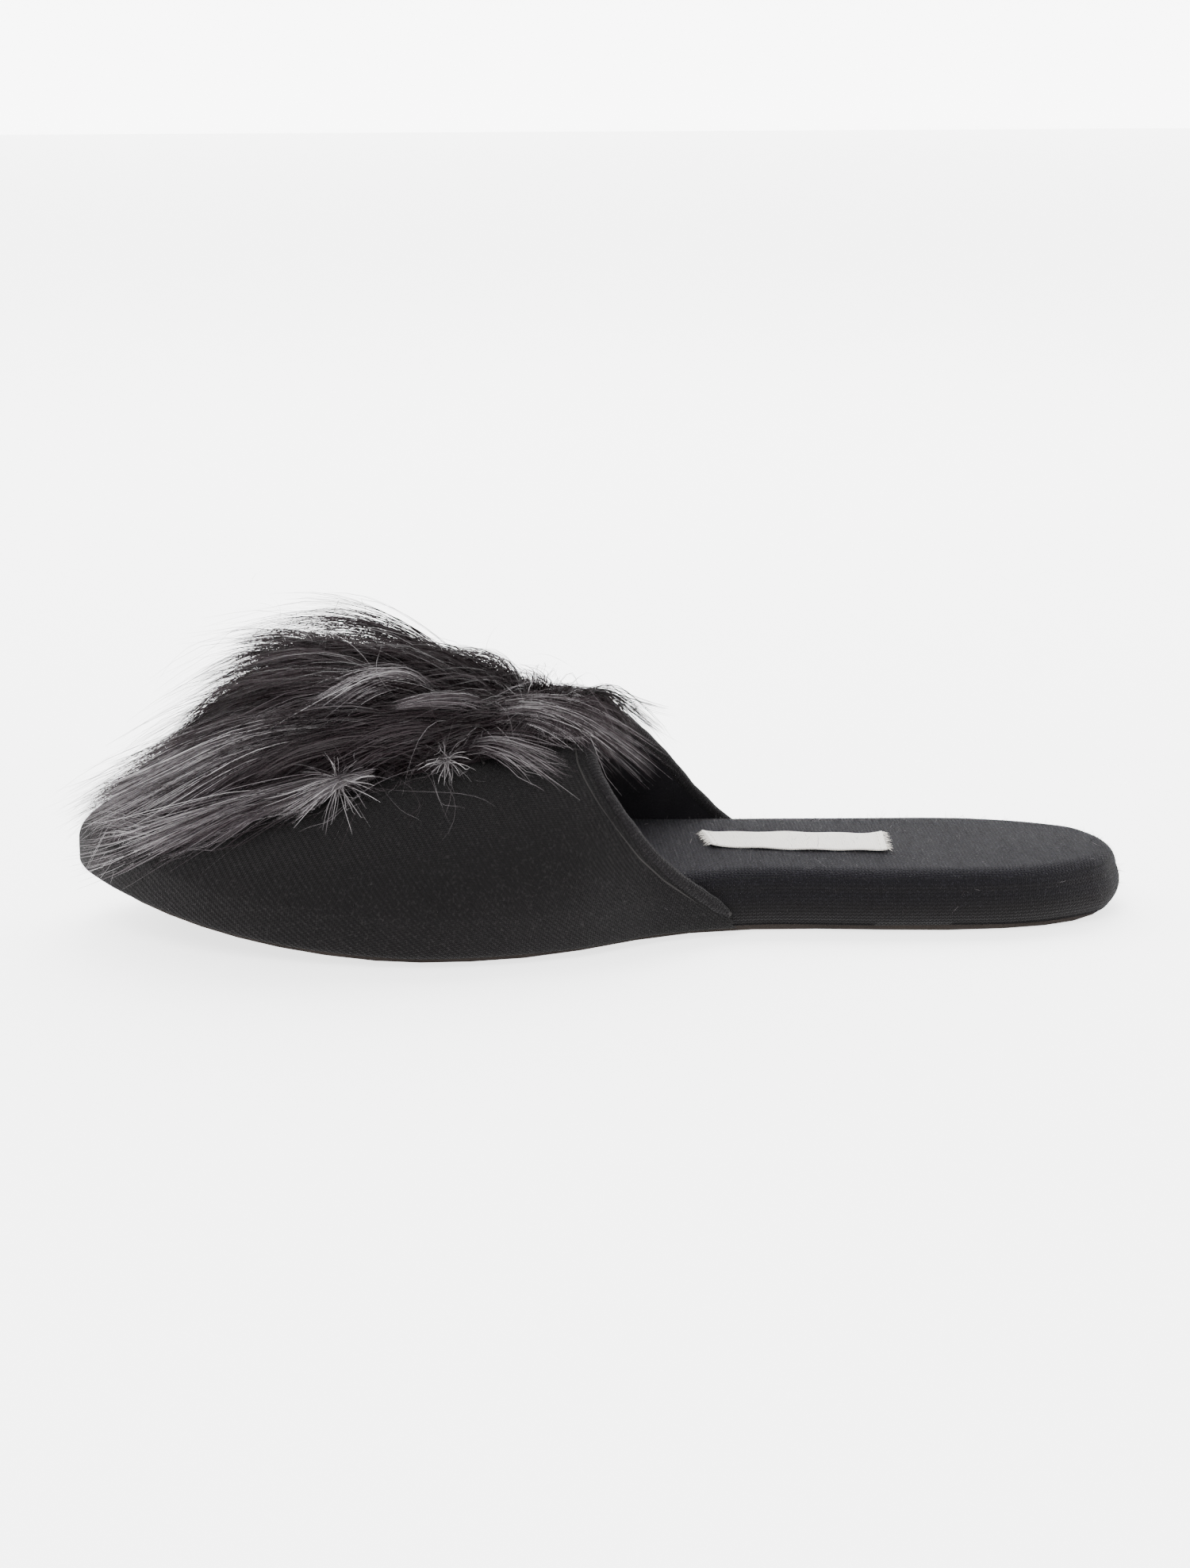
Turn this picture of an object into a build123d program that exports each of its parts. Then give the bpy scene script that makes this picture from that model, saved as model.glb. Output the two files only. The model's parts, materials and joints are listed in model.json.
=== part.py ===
from build123d import *
import os
from math import cos, pi, sin, sqrt, tan

# A left-foot house slipper: a backless mule with a thick padded footbed wrapped in knit, a knitted
# vamp with a corded topline, and a strip of long-haired fur sewn along the top of the vamp.
# Millimetres. +Z is up, +Y points to the heel, -Y to the toe, and +X to the wearer's left.
# The origin is on the ground, under the middle of the slipper's length and width.

# ---------------------------------------------------------------- driving dimensions

# The footbed's outline: its outer (+X) side from the back of the heel to the tip of the toe, and its
# inner side back again.
OUTER_SIDE = [
    (-5.0, 131.0),
    (6.5, 128.3),
    (15.5, 121.0),
    (22.8, 102.0),
    (22.8, 72.0),
    (19.9, 37.0),
    (25.0, 12.0),
    (37.5, -12.0),
    (43.2, -40.0),
    (39.8, -68.0),
    (30.4, -95.5),
    (17.5, -114.5),
    (6.5, -124.0),
    (0.0, -127.1),
    (-7.0, -128.0),
]
INNER_SIDE = [
    (-7.0, -128.0),
    (-13.5, -126.7),
    (-20.5, -121.7),
    (-28.6, -110.5),
    (-37.2, -90.0),
    (-42.6, -61.0),
    (-43.0, -29.0),
    (-39.3, 6.0),
    (-37.0, 38.0),
    (-35.4, 70.0),
    (-32.6, 100.0),
    (-24.5, 121.0),
    (-16.0, 128.3),
    (-5.0, 131.0),
]

# The tread is flat from the heel to the ball and springs up to the toe; it bends only at these places.
SPRING_START = -47.0
SPRING_LENGTH = 84.0
SPRING_HEIGHT = 13.0
SPRING_POWER = 1.8
HALF_SPAN = 60.0
SPAN_BACK = 150.0
TREAD_BENDS = [-47, -58, -70, -81, -91, -100, -108, -115, -131]

# Places along the slipper where every piece has a cross-section, and how far its last three are from its
# own tip and heel.
STATIONS = [-121] + TREAD_BENDS[-2::-1] + [-35, -22, -8, 6, 20, 36, 52, 68, 84, 98, 109, 117, 122.5]
END_STATIONS = (0.7, 2.4, 5.0)
END_CLEAR = 6.2

# Thicknesses of the sole's layers, from the ground up.
OUTSOLE = 2.0
MARGIN = 1.2
UNDER_COVER = 0.8
BOARD = 1.5
BASE_FOAM = 4.6
TOP_FOAM = 4.1
COVER = 1.2
MARGIN_LOW = OUTSOLE
MARGIN_HIGH = MARGIN_LOW + MARGIN
BOARD_LOW = MARGIN_HIGH + UNDER_COVER
BOARD_HIGH = BOARD_LOW + BOARD
BASE_HIGH = BOARD_HIGH + BASE_FOAM
CORE_HIGH = BASE_HIGH + TOP_FOAM
FOOTBED_HIGH = CORE_HIGH + COVER

OUTSOLE_INSET = 3.0
MARGIN_WIDTH = 12.0
FILLER_GAP = 1.0
TOE_THINNING = 6.0
TOE_THINNING_RUN = 25.0
COVER_ROUND = 5.0
CORE_ROUND = COVER_ROUND - COVER

# The vamp: three layers with the footbed inside them.
KNIT = 1.2
INTERLINING = 0.6
LINING = 0.8
WALL_GAP = 0.3
WALL = KNIT + INTERLINING + LINING + WALL_GAP
RIDGE_HEIGHT = 51.0
RIDGE_SLOPE = 0.178
CREST_SHIFT = 2.5
NOSE_HEIGHT = 20.8
NOSE_TOP_RUN = 12.0
SIDE_BULGE = 10.0
SIDE_BULGE_SHARE = 0.6
SIDE_TUCK = 0.2
VAMP_END = 52
FOOT_DEPTH = 2.0
OUTER_SKIRT = 0.5
INNER_SKIRT = 1.5
FLOOR_LOW = -10.0
ARCH_WIDTH_POWER = 2.15
ARCH_HEIGHT_POWER = 2.0
ARCH_ANGLES = (20, 42, 66, 90, 114, 138, 160)
PUFF_LENGTH = 34.0

# The topline where it crosses the slipper's middle, as (y, z) from above the instep down to the tread.
# It lies further back on the inner side: its y falls by TOPLINE_SKEW for each millimetre of x.
TOPLINE = [(-12, 64), (-5, 51), (-1.2, 44), (4.2, 37), (9.6, 30), (15.6, 22), (21.4, 16), (33.5, 6), (38.5, 0)]
TOPLINE_SKEW = 0.24
BINDING_R = 1.3
CORD_R = 0.6
BINDING_SETBACK = 1.3
TOPLINE_GUESS = 30
BINDING_INSET = 1.0
BINDING_HEIGHTS = (5.5, 10, 16, 23, 31, 38.5, 44)

# The fur strip along the top of the vamp.
FUR_X = -2.0
FUR_Y = -44.0
FUR_HALF_WIDTH = 17.0
FUR_HALF_LENGTH = 37.0
HIDE = 1.3
WHIP_STITCHES = 26
WHIP_START = 0.1
WHIP_LENGTH = 2.4
WHIP_R = 0.3
WHIP_LIFT = 0.6
# Stations of the hair's outer shape: distance y, half width and the height of its top.
HAIR = [
    (3, 14, 57),
    (-6, 18, 61),
    (-22, 22, 66),
    (-46, 26, 73),
    (-69, 28, 78),
    (-85, 26, 75),
    (-99, 23, 61),
    (-112, 18, 45),
    (-123, 11, 35),
]
HAIR_LOW = 15.0

# The woven label on the footbed and its two rows of stitches.
LABEL = [(5.0, 71.2), (-12.0, 72.2), (-17.0, 26.5), (-2.0, 27.7)]
LABEL_THICK = 0.45
STITCH_LENGTH = 1.8
STITCH_R = 0.22
STITCH_INSET = 1.6
STITCHES_PER_END = 5


# ---------------------------------------------------------------- shapes that several pieces share


def spring(y):
    """The curve that the tread's bends lie on."""
    return SPRING_HEIGHT * (max(0.0, SPRING_START - y) / SPRING_LENGTH) ** SPRING_POWER


def tread(y):
    """Height of the underside at a place along the slipper."""
    if y >= TREAD_BENDS[0]:
        return 0.0
    behind, ahead = next(
        (pair for pair in zip(TREAD_BENDS, TREAD_BENDS[1:]) if pair[1] <= y), TREAD_BENDS[-2:]
    )
    share = (behind - y) / (behind - ahead)
    return spring(behind) + share * (spring(ahead) - spring(behind))


def drawn_in(points, inset):
    """One side of the outline, moved towards the middle of the sole by inset."""
    moved = []
    for k, (x, y) in enumerate(points):
        if k in (0, len(points) - 1):
            along = Vector(1 if y > 0 else -1, 0)  # at the heel's and the toe's tip
        else:
            along = (Vector(*points[k + 1]) - Vector(*points[k - 1])).normalized()
        moved.append((x + inset * along.Y, y - inset * along.X))
    return moved


def footprint(inset=0):
    """The footbed's outline as a face, drawn in by inset."""
    with BuildSketch() as face:
        with BuildLine():
            Spline(drawn_in(OUTER_SIDE, inset))
            Spline(drawn_in(INNER_SIDE, inset))
        make_face()
    return face.sketch


def outline_sides(outset):
    """The outline moved outwards, as a function from y to its inner and outer x, and its tip's y."""
    rim = footprint(-outset).faces()[0].outer_wire()
    points = [rim @ (k / 720) for k in range(720)]
    tip = min(point.Y for point in points)

    def sides(y):
        crossings = []
        for here, there in zip(points, points[1:] + points[:1]):
            if (here.Y - y) * (there.Y - y) <= 0 and here.Y != there.Y:
                share = (y - here.Y) / (there.Y - here.Y)
                crossings.append(here.X + share * (there.X - here.X))
        return min(crossings), max(crossings)

    return sides, tip


def quarter_round(distance, run, drop):
    """How far a quarter-round end of the given run and drop has fallen at a distance from its tip."""
    return drop * (1 - sqrt(1 - max(0.0, 1 - distance / run) ** 2))


def places(tip, heel=None):
    """Where a piece with this tip (and this heel) has its cross-sections."""
    front = [tip + ahead for ahead in END_STATIONS]
    if heel is None:
        return front + [y for y in STATIONS if tip + END_CLEAR < y <= VAMP_END]
    back = [heel - behind for behind in END_STATIONS[::-1]]
    return front + [y for y in STATIONS if tip + END_CLEAR < y < heel - END_CLEAR] + back


def across(y):
    """The sketch plane of the cross-section at y: x stays x, and the plane's own y is the height."""
    return Plane(origin=(0, y, 0), x_dir=(1, 0, 0), z_dir=(0, -1, 0))


def sole_layer(inset, low, high, radius=0.0):
    """A layer of the sole, the outline drawn in by inset, its upper edge rounded by radius."""
    sides, tip = outline_sides(-inset)
    heel = OUTER_SIDE[0][1] - inset
    with BuildPart() as layer:
        for y in places(tip, heel):
            inner, outer = sides(y)
            near = min(y - tip, heel - y)
            top = tread(y) + high
            if radius:
                top -= quarter_round(near, radius, radius) + quarter_round(y - tip, TOE_THINNING_RUN, TOE_THINNING)
            under = tread(y) + low
            corner = min(radius, 0.45 * (outer - inner))
            with BuildSketch(across(y)):
                with BuildLine():
                    Polyline((inner, top - corner), (inner, under), (outer, under), (outer, top - corner))
                    if radius:
                        TangentArc((outer, top - corner), (outer - corner, top), tangent=(0, 1))
                        TangentArc((inner + corner, top), (inner, top - corner), tangent=(-1, 0))
                    Line((outer - corner, top), (inner + corner, top))
                make_face()
        loft(ruled=True)
    return layer.part


def ground(high):
    """Everything under a height above the tread, for cutting off what hangs below it."""
    with BuildPart() as block:
        for y in [SPAN_BACK] + TREAD_BENDS[:-1] + [-SPAN_BACK]:
            with BuildSketch(across(y)):
                with BuildLine():
                    top = tread(y) + high
                    corners = [(-HALF_SPAN, FLOOR_LOW), (HALF_SPAN, FLOOR_LOW), (HALF_SPAN, top), (-HALF_SPAN, top)]
                    Polyline(*corners, close=True)
                make_face()
        loft(ruled=True)
    return block.part


class VampShape:
    """The outside of the vamp drawn in by inset: where its cross-section is at each place y."""

    def __init__(self, inset):
        self.inset = inset
        self.sides, self.tip = outline_sides(WALL - inset)

    def section(self, y):
        """Middle x, half width, underside z, widest z and crest z of the section at y."""
        inner, outer = self.sides(y)
        ahead = y - self.tip
        crest = RIDGE_HEIGHT + RIDGE_SLOPE * y - self.inset
        under = tread(y) + MARGIN_LOW
        crest -= quarter_round(ahead, NOSE_TOP_RUN, crest - NOSE_HEIGHT)
        widest = under + min(SIDE_BULGE, SIDE_BULGE_SHARE * (crest - under))
        return (inner + outer) / 2, (outer - inner) / 2, under, widest, crest

    def outline(self, y):
        """Points of the section at y as (x, z), over the crest, starting and ending under the edge."""
        middle, half, under, widest, crest = self.section(y)
        tuck = min(SIDE_TUCK, 0.3 * half)
        foot = (half - tuck, under - FOOT_DEPTH)
        knee = (half - tuck * (1 - sqrt(0.5)), widest - (widest - under) * sqrt(0.5))
        points = [(middle + foot[0], foot[1]), (middle + knee[0], knee[1]), (middle + half, widest)]
        for angle in ARCH_ANGLES:
            across, up = cos(angle * pi / 180), sin(angle * pi / 180)
            reach = abs(across) ** (2 / ARCH_WIDTH_POWER) * (1 if across > 0 else -1)
            x = middle + half * reach - CREST_SHIFT * up * min(1, half / 30)
            points.append((x, widest + (crest - widest) * up ** (2 / ARCH_HEIGHT_POWER)))
        points += [(middle - half, widest), (middle - knee[0], knee[1]), (middle - foot[0], foot[1])]
        return points

    def surface(self, x, y):
        """Height of the vamp's top over the point (x, y)."""
        middle, half, under, widest, crest = self.section(y)
        reach = min(1.0, abs(x - middle + CREST_SHIFT) / half)
        rise = (1 - reach ** ARCH_WIDTH_POWER) ** (1 / ARCH_HEIGHT_POWER)
        return widest + (crest - widest) * rise

    def side_x(self, y, z, side):
        """Where the wall stands at (y, z), on the outer side (1) or the inner side (-1)."""
        middle, half, under, widest, crest = self.section(y)
        if z < widest:
            drop = (widest - z) / (widest - under)
            return middle + side * (half - SIDE_TUCK * (1 - sqrt(max(0.0, 1 - drop**2))))
        up = min(1.0, (z - widest) / (crest - widest))
        reach = (1 - up**ARCH_HEIGHT_POWER) ** (1 / ARCH_WIDTH_POWER)
        return middle + side * half * reach - CREST_SHIFT * up


def vamp_volume(inset, skirt=OUTER_SKIRT):
    """The whole space inside the vamp's surface drawn in by inset, with a skirt that is cut off later."""
    shape = VampShape(inset)
    with BuildPart() as volume:
        for y in places(shape.tip):
            with BuildSketch(across(y)):
                with BuildLine():
                    points = shape.outline(y)
                    Spline(points)
                    hem = points[0][1] - skirt
                    Polyline(points[-1], (points[-1][0], hem), (points[0][0], hem), points[0])
                make_face()
        loft(ruled=True)
    return volume.part


def vamp_layer(outer, inner):
    """The vamp's wall between two insets, from the footbed's underside up, in front of the topline."""
    with BuildPart() as layer:
        add(vamp_volume(outer))
        add(vamp_volume(inner, INNER_SKIRT), mode=Mode.SUBTRACT)
        add(ground(MARGIN_HIGH), mode=Mode.SUBTRACT)
        add(throat_cutter(), mode=Mode.SUBTRACT)
    return layer.part


def throat_cutter():
    """What the topline removes: everything behind its curve, right across the slipper."""
    with BuildPart() as cutter:
        side = Plane(origin=(-HALF_SPAN, HALF_SPAN * TOPLINE_SKEW, 0), x_dir=(0, 1, 0), z_dir=(1, 0, 0))
        with BuildSketch(side):
            with BuildLine():
                curve = Spline(TOPLINE)
                Polyline(curve @ 1, (75, 0), (75, 64), curve @ 0)
            make_face()
        extrude(amount=2 * HALF_SPAN * sqrt(1 + TOPLINE_SKEW**2), dir=(1, -TOPLINE_SKEW, 0))
    return cutter.part


def topline_y(z):
    """How far back the topline is at a height, where it crosses the slipper's middle."""
    for (y_high, z_high), (y_low, z_low) in zip(TOPLINE, TOPLINE[1:]):
        if z_low <= z <= z_high:
            return y_low + (y_high - y_low) * (z - z_low) / (z_high - z_low)
    raise ValueError("the topline does not reach that height")


# ---------------------------------------------------------------- the sole, from the ground up

with BuildPart() as outsole:
    add(sole_layer(OUTSOLE_INSET, 0, OUTSOLE))

with BuildPart() as bottom_filler:
    add(sole_layer(MARGIN_WIDTH + FILLER_GAP, MARGIN_LOW, MARGIN_HIGH))

core = sole_layer(COVER, BOARD_LOW, CORE_HIGH, CORE_ROUND)

with BuildPart() as insole_board:
    add(core)
    add(ground(BOARD_HIGH), mode=Mode.INTERSECT)

with BuildPart() as base_foam:
    add(core)
    add(ground(BASE_HIGH), mode=Mode.INTERSECT)
    add(ground(BOARD_HIGH), mode=Mode.SUBTRACT)

with BuildPart() as top_foam:
    add(core)
    add(ground(BASE_HIGH), mode=Mode.SUBTRACT)

with BuildPart() as footbed_cover:
    add(sole_layer(0, MARGIN_HIGH, FOOTBED_HIGH, COVER_ROUND))
    add(core, mode=Mode.SUBTRACT)

# ---------------------------------------------------------------- the vamp's layers

vamp_outside = vamp_volume(0)

with BuildPart() as knit_inside:
    add(vamp_volume(KNIT))
    add(ground(MARGIN_HIGH), mode=Mode.SUBTRACT)

with BuildPart() as vamp_knit:
    add(vamp_outside)
    add(ground(MARGIN_LOW), mode=Mode.SUBTRACT)
    add(knit_inside.part, mode=Mode.SUBTRACT)
    add(sole_layer(MARGIN_WIDTH, 0, MARGIN_HIGH + FOOT_DEPTH), mode=Mode.SUBTRACT)
    add(throat_cutter(), mode=Mode.SUBTRACT)

toe_line = Plane(origin=(0, VampShape(0).tip + PUFF_LENGTH, 0), z_dir=(0, 1, 0))
stiffening = vamp_layer(KNIT, KNIT + INTERLINING)

with BuildPart() as vamp_interlining:
    add(stiffening)
    split(bisect_by=toe_line, keep=Keep.TOP)

with BuildPart() as toe_puff:
    add(stiffening)
    split(bisect_by=toe_line, keep=Keep.BOTTOM)

with BuildPart() as vamp_lining:
    add(vamp_layer(KNIT + INTERLINING, KNIT + INTERLINING + LINING))

# ---------------------------------------------------------------- the corded binding on the topline


def topline_point(shape, z, side):
    """Where the binding's centre line is at a height, on the outer side (1) or the inner side (-1)."""
    x = side * TOPLINE_GUESS
    for _ in range(4):
        y = topline_y(z) - TOPLINE_SKEW * x + BINDING_SETBACK
        x = shape.side_x(y, z, side)
    return x, y, z


def topline_path():
    """Corners of the binding's centre line, from the outer side over the crest to the inner side."""
    shape = VampShape(BINDING_INSET)
    outer = [topline_point(shape, z, 1) for z in BINDING_HEIGHTS]
    inner = [topline_point(shape, z, -1) for z in BINDING_HEIGHTS]
    middle, half, under, widest, crest = shape.section(0)
    ridge_x = middle - CREST_SHIFT
    ridge_y = topline_y(crest) - TOPLINE_SKEW * ridge_x + BINDING_SETBACK
    return outer + [(ridge_x, ridge_y, crest)] + inner[::-1]


def corner_radii(points):
    """The largest arc that each corner of a path has room for."""
    corners = [Vector(*point) for point in points]
    radii = []
    for before, here, after in zip(corners, corners[1:], corners[2:]):
        arriving, leaving = here - before, after - here
        turn = arriving.get_angle(leaving) * pi / 180
        radii.append(0.45 * min(arriving.length, leaving.length) / tan(turn / 2))
    return radii


def topline_tube(radius):
    """A round rod along the topline."""
    corners = topline_path()
    with BuildPart() as tube:
        with BuildLine() as path:
            FilletPolyline(*corners, radius=corner_radii(corners))
        with BuildSketch(Plane(origin=path.line @ 0, z_dir=path.line % 0)):
            Circle(radius)
        sweep(path=path.line)
    return tube.part


with BuildPart() as piping_cord:
    add(topline_tube(CORD_R))

with BuildPart() as topline_binding:
    add(topline_tube(BINDING_R))
    add(throat_cutter(), mode=Mode.INTERSECT)
    add(piping_cord.part, mode=Mode.SUBTRACT)

# ---------------------------------------------------------------- the fur strip

over_knit = vamp_volume(-HIDE)

with BuildPart() as fur_backing:
    add(over_knit)
    add(vamp_outside, mode=Mode.SUBTRACT)
    with BuildSketch(Plane.XY.offset(HAIR_LOW)):
        with Locations((FUR_X, FUR_Y)):
            Ellipse(FUR_HALF_WIDTH, FUR_HALF_LENGTH)
    extrude(amount=60, mode=Mode.INTERSECT)

with BuildPart() as fur_pile:
    for y, half, top in HAIR:
        with BuildSketch(Plane(origin=(FUR_X, y, 0), x_dir=(1, 0, 0), z_dir=(0, -1, 0))):
            with BuildLine():
                arch = Spline(
                    [(half * cos(k * pi / 8), HAIR_LOW + (top - HAIR_LOW) * sin(k * pi / 8)) for k in range(9)]
                )
                Line(arch @ 1, arch @ 0)
            make_face()
    loft(ruled=True)
    add(over_knit, mode=Mode.SUBTRACT)


def rod_between(start, end):
    """The plane at the middle of two points that looks from one to the other, and their distance."""
    start, end = Vector(*start), Vector(*end)
    return Plane(origin=(start + end) / 2, z_dir=end - start), (end - start).length


with BuildPart() as fur_stitches:
    knit_top = VampShape(0)
    for k in range(WHIP_STITCHES):
        angle = 2 * pi * (k + 0.5) / WHIP_STITCHES
        out = Vector(cos(angle) / FUR_HALF_WIDTH, sin(angle) / FUR_HALF_LENGTH).normalized()
        ends = []
        for reach in (WHIP_START, WHIP_START + WHIP_LENGTH):
            x = FUR_X + FUR_HALF_WIDTH * cos(angle) + reach * out.X
            y = FUR_Y + FUR_HALF_LENGTH * sin(angle) + reach * out.Y
            ends.append((x, y, knit_top.surface(x, y) + WHIP_LIFT))
        place, length = rod_between(*ends)
        with Locations(place):
            Cylinder(WHIP_R, length)

# ---------------------------------------------------------------- the label

with BuildPart() as woven_label:
    with BuildSketch(Plane.XY.offset(FOOTBED_HIGH)):
        Polygon(*LABEL, align=None)
    extrude(amount=LABEL_THICK)

with BuildPart() as label_stitches:
    for near, far, inward in ((LABEL[0], LABEL[1], -1), (LABEL[3], LABEL[2], 1)):
        row_start, row_end = Vector(*near), Vector(*far)
        row = row_end - row_start
        for k in range(STITCHES_PER_END):
            centre = row_start + row * ((k + 0.5) / STITCHES_PER_END) + Vector(0, inward * STITCH_INSET)
            half = row.normalized() * (STITCH_LENGTH / 2)
            lift = Vector(0, 0, FOOTBED_HIGH + LABEL_THICK + STITCH_R)
            place, length = rod_between(centre - half + lift, centre + half + lift)
            with Locations(place):
                Cylinder(STITCH_R, length)

# ---------------------------------------------------------------- writing the pieces

PIECES = {
    "outsole": outsole,
    "bottom_filler": bottom_filler,
    "insole_board": insole_board,
    "base_foam": base_foam,
    "top_foam": top_foam,
    "footbed_cover": footbed_cover,
    "vamp_knit": vamp_knit,
    "vamp_interlining": vamp_interlining,
    "toe_puff": toe_puff,
    "vamp_lining": vamp_lining,
    "topline_binding": topline_binding,
    "piping_cord": piping_cord,
    "fur_backing": fur_backing,
    "fur_pile": fur_pile,
    "fur_stitches": fur_stitches,
    "woven_label": woven_label,
    "label_stitches": label_stitches,
}

os.makedirs("parts", exist_ok=True)
for name, piece in PIECES.items():
    piece.part.label = name
    export_step(piece.part, f"parts/{name}.step")
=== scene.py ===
import json
from math import cos, pi, radians, sin

import bpy
import numpy as np
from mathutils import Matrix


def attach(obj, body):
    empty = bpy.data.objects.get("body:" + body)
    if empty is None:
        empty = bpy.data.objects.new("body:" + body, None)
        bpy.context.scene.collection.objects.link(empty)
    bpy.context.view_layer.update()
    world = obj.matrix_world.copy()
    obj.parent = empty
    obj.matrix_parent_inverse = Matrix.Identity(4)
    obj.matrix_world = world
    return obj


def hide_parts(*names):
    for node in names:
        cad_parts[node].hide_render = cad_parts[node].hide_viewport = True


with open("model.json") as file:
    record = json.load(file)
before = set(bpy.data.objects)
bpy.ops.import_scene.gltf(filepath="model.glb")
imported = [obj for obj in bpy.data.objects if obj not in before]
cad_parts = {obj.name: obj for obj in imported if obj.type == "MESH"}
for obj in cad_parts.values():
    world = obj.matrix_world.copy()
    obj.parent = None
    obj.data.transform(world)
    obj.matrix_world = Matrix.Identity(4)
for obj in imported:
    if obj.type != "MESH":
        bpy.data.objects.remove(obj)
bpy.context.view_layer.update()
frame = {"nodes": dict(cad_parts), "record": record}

# The looks of a left house slipper: padded knitted footbed, black knitted vamp with a corded topline,
# a woven label, and long fur along the top of the vamp. Metres in Blender; the shape functions below
# work in millimetres and MM turns their results into metres.
MM = 0.001
RANDOM = np.random.default_rng(20)

# ---------------------------------------------------------------- the shape of the slipper

OUTLINE = np.array([
    (-5, 131), (6.5, 128.3), (15.5, 121), (22.8, 102), (22.8, 72), (19.9, 37), (25, 12), (37.5, -12),
    (43.2, -40), (39.8, -68), (30.4, -95.5), (17.5, -114.5), (6.5, -124), (0, -127.1), (-7, -128),
    (-13.5, -126.7), (-20.5, -121.7), (-28.6, -110.5), (-37.2, -90), (-42.6, -61), (-43, -29), (-39.3, 6),
    (-37, 38), (-35.4, 70), (-32.6, 100), (-24.5, 121), (-16, 128.3),
])
SPRING_START, SPRING_LENGTH, SPRING_HEIGHT, SPRING_POWER = -47, 84, 13, 1.8
PAD_LOW, PAD_HIGH, PAD_ROUND, PAD_SAG = 3.2, 15.4, 5.0, 1.5
TOE_THINNING, TOE_THINNING_RUN = 6.0, 25.0
WALL = 2.9
VAMP_LOW = 2.0
RIDGE_HEIGHT, RIDGE_SLOPE, CREST_SHIFT = 51, 0.178, 2.5
NOSE_HEIGHT, NOSE_TOP_RUN = 20.8, 12
NOSE_HALF_WIDTH = 0.05
SIDE_BULGE, SIDE_BULGE_SHARE = 10, 0.6
# The upright sides take this share of the way around the vamp, and tuck in by this much at their foot.
SIDE_SHARE = 0.14
FOOT_TUCK, FOOT_TUCK_SHARE = 1.6, 0.3
# Where the vamp is narrower than this half width, its crest moves back to the middle.
CREST_NARROW = 30
ARCH_WIDTH_POWER, ARCH_HEIGHT_POWER = 2.15, 2.0
TOPLINE_Z = np.array([0, 6, 16, 22, 30, 37, 44, 51, 64])
TOPLINE_Y = np.array([38.5, 33.5, 21.4, 15.6, 9.6, 4.2, -1.2, -5, -12])
TOPLINE_SKEW = 0.24
TOPLINE_FIRST_Y, TOPLINE_ROUNDS = 10.0, 30
FUR_X, FUR_Y, FUR_HALF_WIDTH, FUR_HALF_LENGTH = -2, -44, 17, 37


def smooth_closed(points, per_span):
    """A closed Catmull-Rom curve through the points."""
    before, after = np.roll(points, 1, 0), np.roll(points, -1, 0)
    beyond = np.roll(points, -2, 0)
    t = (np.arange(per_span) / per_span)[None, :, None]
    p0, p1, p2, p3 = (p[:, None, :] for p in (before, points, after, beyond))
    curve = 0.5 * (2 * p1 + (p2 - p0) * t + (2 * p0 - 5 * p1 + 4 * p2 - p3) * t**2)
    curve += 0.5 * (3 * p1 - p0 - 3 * p2 + p3) * t**3
    return curve.reshape(-1, 2)


def outward(curve):
    """Unit normals of a closed curve, pointing out of it."""
    along = np.roll(curve, -1, 0) - np.roll(curve, 1, 0)
    along /= np.linalg.norm(along, axis=1, keepdims=True)
    return np.stack([-along[:, 1], along[:, 0]], 1)


RIM = smooth_closed(OUTLINE, 24)
RIM_OUT = outward(RIM)


def sides(outset, y):
    """The inner and outer x of the outline, moved outwards, at each y."""
    edge = RIM + outset * RIM_OUT
    heel = np.argmax(edge[:, 1])
    tip = (np.argmin(edge[:, 1]) - heel) % len(edge)
    edge = np.roll(edge, -heel, 0)
    outer, inner = edge[: tip + 1], np.vstack([edge[tip:], edge[:1]])
    inner_x = np.interp(y, inner[:, 1], inner[:, 0])
    outer_x = np.interp(y, outer[::-1, 1], outer[::-1, 0])
    return inner_x, outer_x


def tip_of(outset):
    """The y of the toe's tip of the outline moved outwards."""
    return float((RIM + outset * RIM_OUT)[:, 1].min())


def tread(y):
    """Height of the underside along the slipper."""
    return SPRING_HEIGHT * (np.maximum(0, SPRING_START - y) / SPRING_LENGTH) ** SPRING_POWER


def quarter_round(distance, run, drop):
    """How far a quarter-round end has fallen at a distance from its tip."""
    return drop * (1 - np.sqrt(1 - np.clip(1 - distance / run, 0, 1) ** 2))


def vamp_section(inset, y):
    """Middle x, half width, foot z, widest z and crest z of the vamp's section at y."""
    inner, outer = sides(WALL - inset, y)
    ahead = np.maximum(y - tip_of(WALL - inset), 0)
    crest = RIDGE_HEIGHT + RIDGE_SLOPE * y - inset
    crest = crest - quarter_round(ahead, NOSE_TOP_RUN, crest - NOSE_HEIGHT)
    foot = tread(y) + VAMP_LOW
    widest = foot + np.minimum(SIDE_BULGE, SIDE_BULGE_SHARE * (crest - foot))
    return (inner + outer) / 2, np.maximum((outer - inner) / 2, NOSE_HALF_WIDTH), foot, widest, crest


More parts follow.
